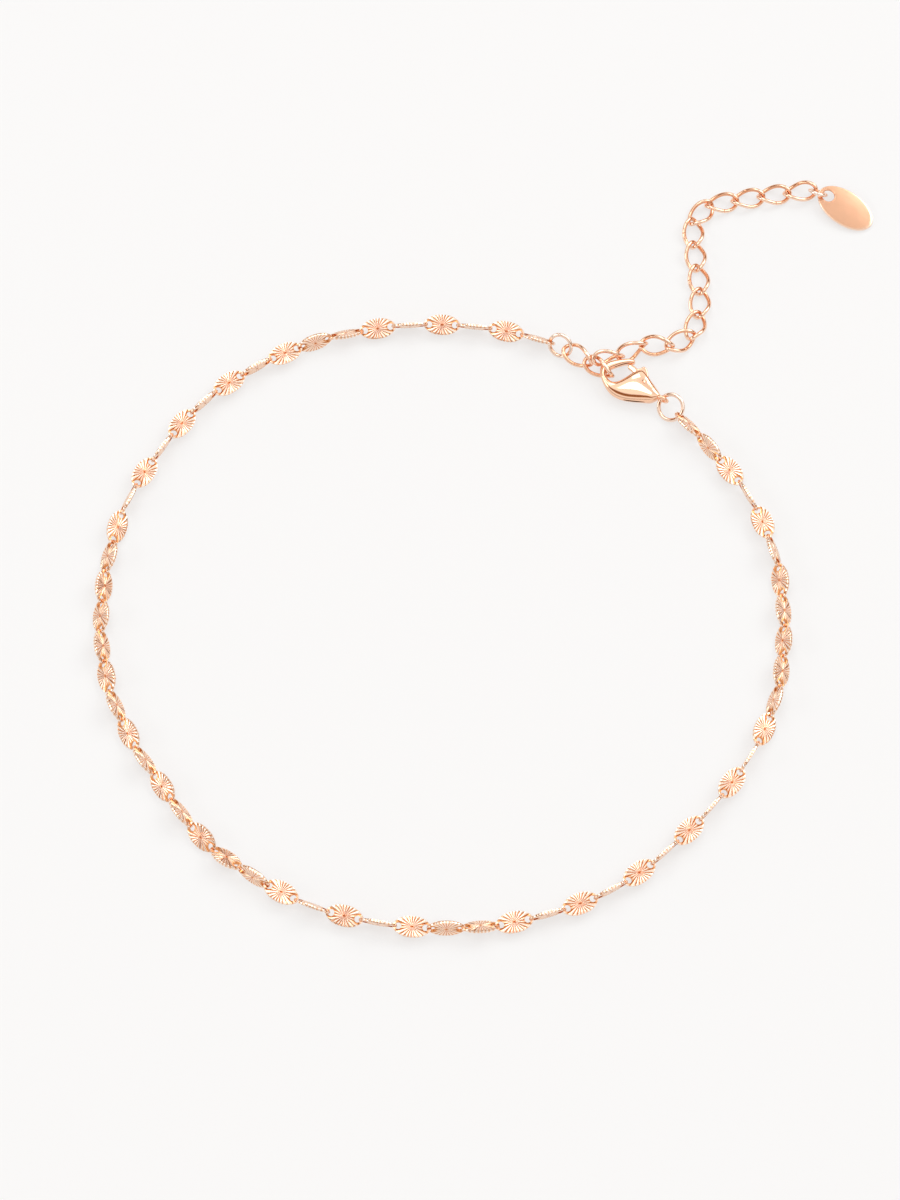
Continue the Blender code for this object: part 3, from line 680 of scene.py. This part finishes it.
# Fair on the face and a painted highlight on the polished rim; the polishing lines run along the tag
add_attribute(piece, "painted_light_and_joint_tone", 0.55 + 0.45 * np.clip((rim - 0.955) / 0.03, 0.0, 1.0))
add_attribute(piece, "grain", tag_flat / MM * (0.6, 7.0, 1.0))
tag_gold = rose_gold(
    "tag_gold",
    deep=(0.60, 0.28, 0.14), fair=(0.85, 0.48, 0.305), pale=(0.98, 0.78, 0.64),
    gloss=0.17, grain_bump=0.04,
)
piece.data.materials.append(tag_gold)
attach(piece, "anklet")
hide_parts("tag")


# Clasp body: the cast hook of a lobster clasp, polished all over. It swells from its eye to a full back
# and narrows into the round hook. Its front is slotted for the lever, and its back has a narrow slit.
clasp_thick = 1.80 * MM
hook_thick = 1.05 * MM
clasp_eye_radius = 0.66 * MM
clasp_eye_wire = 0.38 * MM
slot_width = 0.84 * MM
pivot = np.array([2.50, -0.80]) * MM
pin_radius = 0.22 * MM
pin_clearance = 0.06 * MM
slit_middle = np.array([2.65, -0.21]) * MM
slit_reach = np.array([1.15, 0.10]) * MM
slit_floor = 1.25 * MM
clasp_eye_steps = 48
bore_steps = 32
# Pairs of points on the body's back and on its front, from the eye round to the hook's tip
back_rail = MM * np.array([
    (0.45, 0.42), (0.95, 0.98), (1.70, 1.32), (2.60, 1.68), (3.40, 1.96), (4.10, 2.11), (4.70, 2.14),
    (5.20, 2.08), (5.62, 1.95), (6.15, 1.69), (6.85, 1.17), (7.58, 0.40), (7.84, -0.48), (7.25, -1.36),
    (6.25, -2.08), (5.50, -2.53), (5.00, -2.70), (4.72, -2.65), (4.60, -2.50),
])
front_rail = MM * np.array([
    (0.45, -0.42), (0.95, -0.74), (1.84, -1.26), (2.80, -1.84), (3.46, -2.04), (3.98, -1.70), (4.42, -1.02),
    (4.84, -0.30), (5.32, 0.34), (5.95, 0.66), (6.62, 0.50), (6.90, 0.08), (6.72, -0.45), (6.20, -1.05),
    (5.60, -1.62), (5.15, -1.94), (4.85, -2.09), (4.64, -2.24), (4.58, -2.40),
])


def hinge_place(joint_name):
    """The clasp's own origin and axes, from the lever's hinge: z along the pin, x level towards the hook
    and y square to both, out of the clasp's back."""
    joint = [j for j in frame["joints"] if j["name"] == joint_name][0]
    z = unit(joint["axis"])
    x = unit(np.cross([0.0, 0.0, 1.0], z))
    if x[0] > 0:
        x = -x
    y = np.cross(z, x)
    return np.array(joint["pos_m"]) - pivot[0] * x - pivot[1] * y, np.array([x, y, z])


def clasp_surface(steps=10, sides=44):
    """Between the two rails runs an oval section: half the distance between them times the cosine, and
    half the thickness there times the sine to the power 0.75, which fills the oval out. The thickness
    eases from the back's to the hook's, and is drawn in at the eye's end and at the hook's tip."""
    back = curve_through(back_rail, steps)
    front = curve_through(front_rail, steps)
    middle = (back + front) / 2
    reach = (back - front) / 2
    along = middle[:, 0] / MM
    station = np.arange(len(middle)) / (len(middle) - 1)
    # Stations are shares of the way from the eye to the tip
    slim_from, slim_over = 0.16, 0.46
    eye_end_length, eye_end_draw = 1.3, 0.40
    tip_over, tip_share = 0.06, 0.35
    slim = np.clip((station - slim_from) / slim_over, 0.0, 1.0)
    slim = slim * slim * (3 - 2 * slim)
    eye_end = np.clip((eye_end_length - along) / eye_end_length, 0.0, 1.0) ** 2 * (station < 0.3)
    half = ((1 - slim) * clasp_thick + slim * hook_thick) / 2 - eye_end_draw * eye_end * clasp_thick / 2
    tip = np.clip((1.0 - station) / tip_over, 0.0, 1.0) ** 0.5
    half = half * (tip_share + (1 - tip_share) * tip)
    turn = once_round(sides)
    wide = np.cos(turn)
    tall = np.sign(np.sin(turn)) * abs(np.sin(turn)) ** 0.75
    flat = middle[:, None] + reach[:, None] * wide[None, :, None]
    points = np.dstack([flat, half[:, None] * tall[None, :]])
    return points, middle


def clasp_box(name, low, high):
    """A straight cutter between two corners in the clasp's own axes, in millimetres."""
    left, front, under = low
    right, back, over = high
    outline = MM * np.array([(left, front), (right, front), (right, back), (left, back)])
    return prism(name, outline, under * MM, over * MM)


clasp_origin, clasp_axes = hinge_place("lever_hinge")
surface, clasp_line = clasp_surface()
rings, sides = surface.shape[:2]
ends = np.vstack([np.r_[clasp_line[0], 0.0], np.r_[clasp_line[-1], 0.0]])
shell = np.vstack([surface.reshape(-1, 3), ends])
caps = fans(0, (rings - 1) * sides, sides, rings * sides)
body = metal_mesh("clasp_blank", shell, [grid_quads(rings, sides), caps], sharp=60.0)
turns = once_round(clasp_eye_steps)
eye_line = clasp_eye_radius * np.column_stack([np.cos(turns), 0 * turns, np.sin(turns)])
eye = closed_wire("clasp_eye", eye_line, eye_line, clasp_eye_wire, turns + 1.0)
slot_half = slot_width / 2 / MM
cutters = [
    clasp_box("lever_slot", (1.55, -3.2, -slot_half), (4.35, 0.20, slot_half)),
    clasp_box("lever_swing", (4.25, -1.75, -slot_half), (5.10, 0.20, slot_half)),
]
bore = once_round(bore_steps)
round_bore = np.column_stack([np.cos(bore), np.sin(bore)])
slit = prism("back_slit", slit_middle + slit_reach * round_bore, slit_floor, 3.0 * MM)
# The slit is cut down from the back, so its z turns to the clasp's y
slit.data.transform(Matrix(((1, 0, 0, 0), (0, 0, 1, 0), (0, -1, 0, 0), (0, 0, 0, 1))))
cutters.append(slit)
hole = pivot + (pin_radius + pin_clearance) * round_bore
cutters.append(prism("pin_bore", hole, -1.6 * MM, 1.6 * MM))
cut_with(body, eye, "UNION")
for cutter in cutters:
    cut_with(body, cutter)
clasp_points, clasp_triangles = settled(body)
for spare in (body, eye, *cutters):
    bpy.data.objects.remove(spare)
clasp_placed = clasp_origin + clasp_points @ clasp_axes
piece = metal_mesh("clasp_hook_body", clasp_placed, [clasp_triangles], sharp=42.0)
# Painted shade inside the slot and the slit, a hair of slack round each, and fair elsewhere
hair = 0.01 * MM
x, y, z = clasp_points.T
slot_shade = (abs(z) < slot_width / 2 + hair) & (x > 1.5 * MM) & (x < 4.40 * MM) & (y < 0.25 * MM)
from_slit = np.hypot(*((clasp_points[:, [0, 2]] * (1, -1) - slit_middle) / slit_reach).T)
slit_shade = (from_slit < 1.01) & (y > slit_floor - hair)
add_attribute(piece, "painted_light_and_joint_tone", 0.60 - 0.45 * slot_shade - 0.55 * slit_shade)
add_attribute(piece, "grain", clasp_points / MM * (1.2, 5.0, 5.0))
clasp_gold = rose_gold(
    "clasp_gold",
    deep=(0.55, 0.24, 0.09), fair=(0.95, 0.59, 0.395), pale=(0.99, 0.80, 0.67),
    gloss=0.07, grain_bump=0.04,
)
piece.data.materials.append(clasp_gold)
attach(piece, "anklet")
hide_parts("clasp_body")


# Clasp lever: the sprung gate with its thumb tab, cut from plate and rounded over by polishing. It turns
# on the pin inside the body's slot, and its end closes the hook, just short of the hook's tip.
lever_thick = 0.64 * MM
lever_edge = 0.14 * MM
lever_steps = 120
lever_outline = MM * np.array([
    (2.05, -0.62), (2.25, -1.25), (2.70, -1.95), (3.15, -2.38), (3.50, -2.42), (3.70, -2.16), (3.98, -1.92),
    (4.45, -2.02), (4.88, -2.02), (5.12, -1.80), (5.00, -1.50), (4.45, -1.34), (3.85, -1.02), (3.25, -0.55),
    (2.85, -0.28), (2.40, -0.28),
])


def closed_outline(points, count):
    """Evenly spaced points on the closed Catmull-Rom curve through the given ones, turning left."""
    steps = 16
    curve = curve_through(np.vstack([points[-3:], points, points[:4]]), steps)
    curve = curve[3 * steps:(len(points) + 3) * steps + 1]
    length = np.r_[0.0, np.cumsum(np.linalg.norm(np.diff(curve, axis=0), axis=1))]
    at = np.linspace(0.0, length[-1], count, endpoint=False)
    loop = np.column_stack([np.interp(at, length, curve[:, 0]), np.interp(at, length, curve[:, 1])])
    area = (loop[:, 0] * np.roll(loop[:, 1], -1) - loop[:, 1] * np.roll(loop[:, 0], -1)).sum()
    return loop if area > 0 else loop[::-1]


def moved_in(loop, distance):
    """The outline moved inwards by that distance, square to the line between each point's neighbours."""
    ahead = np.roll(loop, -1, axis=0) - np.roll(loop, 1, axis=0)
    ahead /= np.linalg.norm(ahead, axis=1)[:, None]
    return loop + distance * np.column_stack([-ahead[:, 1], ahead[:, 0]])


def rounded_plate(outline, thickness, edge):
    """The outline carried up through the thickness, its rims drawn in as a quarter circle of that
    radius."""
    quarter = np.linspace(0.0, math.pi / 2, edge_rings)
    draw = edge * (1 - np.cos(quarter))
    rise = thickness / 2 - edge + edge * np.sin(quarter)
    inward = np.r_[draw[::-1], draw]
    height = np.r_[-rise[::-1], rise]
    level = np.ones(len(outline))
    return np.stack([np.column_stack([moved_in(outline, d), z * level]) for d, z in zip(inward, height)])


lever_grid = rounded_plate(closed_outline(lever_outline, lever_steps), lever_thick, lever_edge)
layers, around = lever_grid.shape[:2]
caps = [[np.arange(around)[::-1]], [np.arange(around) + (layers - 1) * around]]
lever_faces = [grid_quads(layers, around), *caps]
blank = metal_mesh("lever_blank", lever_grid.reshape(-1, 3), lever_faces, sharp=50.0)
hole = pivot + (pin_radius + 2 * pin_clearance) * round_bore
lever_bore = prism("lever_bore", hole, -1.0 * MM, 1.0 * MM)
cut_with(blank, lever_bore)
lever_points, lever_triangles = settled(blank)
for spare in (blank, lever_bore):
    bpy.data.objects.remove(spare)
lever_placed = clasp_origin + lever_points @ clasp_axes
piece = metal_mesh("clasp_gate_lever", lever_placed, [lever_triangles], sharp=42.0)
# Fair where it shows, and painted shade where it turns inside the slot
add_attribute(piece, "painted_light_and_joint_tone", 0.62 - 0.30 * (lever_points[:, 1] > -1.0 * MM))
add_attribute(piece, "grain", lever_points / MM * (1.2, 5.0, 5.0))
piece.data.materials.append(clasp_gold)
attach(piece, "lever")
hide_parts("clasp_lever")


# Clasp pin: the short rivet of drawn wire that the lever turns on. It is set through the body and the
# lever's bore, and its two ends are domed over.
pin_length = 1.68 * MM
pin_head_radius = 0.27 * MM
pin_head_rise = 0.06 * MM
pin_sides = 28


def turned(profile, sides):
    """A profile of radius and height carried once round the axis: the radius times the cosine and the
    sine of the turn, at the profile's height."""
    turn = once_round(sides)
    radius, height = profile[:, 0][:, None], profile[:, 1][:, None]
    return np.stack([radius * np.cos(turn), radius * np.sin(turn), height + 0 * turn[None, :]], axis=-1)


# Each head's dome is a quarter of an ellipse, from just off the axis to the rim
quarter = np.linspace(0.06, math.pi / 2, 7)
dome_height = pin_length / 2 - pin_head_rise * (1 - np.cos(quarter))
dome = np.column_stack([pin_head_radius * np.sin(quarter), dome_height])
profile = np.vstack([dome * (1, -1), dome[::-1]])
pin_grid = turned(profile, pin_sides)
rings, sides = pin_grid.shape[:2]
tips = [(0.0, 0.0, -pin_length / 2), (0.0, 0.0, pin_length / 2)]
pin_points = np.vstack([pin_grid.reshape(-1, 3), tips]) + (pivot[0], pivot[1], 0.0)
caps = fans(0, (rings - 1) * sides, sides, rings * sides)
pin_faces = [grid_quads(rings, sides), caps]
piece = metal_mesh("clasp_rivet", clasp_origin + pin_points @ clasp_axes, pin_faces, sharp=50.0)
add_attribute(piece, "painted_light_and_joint_tone", np.full(len(pin_points), 0.5))
add_attribute(piece, "grain", pin_points / MM * 6.0)
pin_gold = rose_gold(
    "pin_gold",
    deep=(0.50, 0.22, 0.10), fair=(0.84, 0.52, 0.38), pale=(0.95, 0.70, 0.56),
    gloss=0.20, grain_bump=0.10,
)
piece.data.materials.append(pin_gold)
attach(piece, "anklet")
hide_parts("clasp_pin")
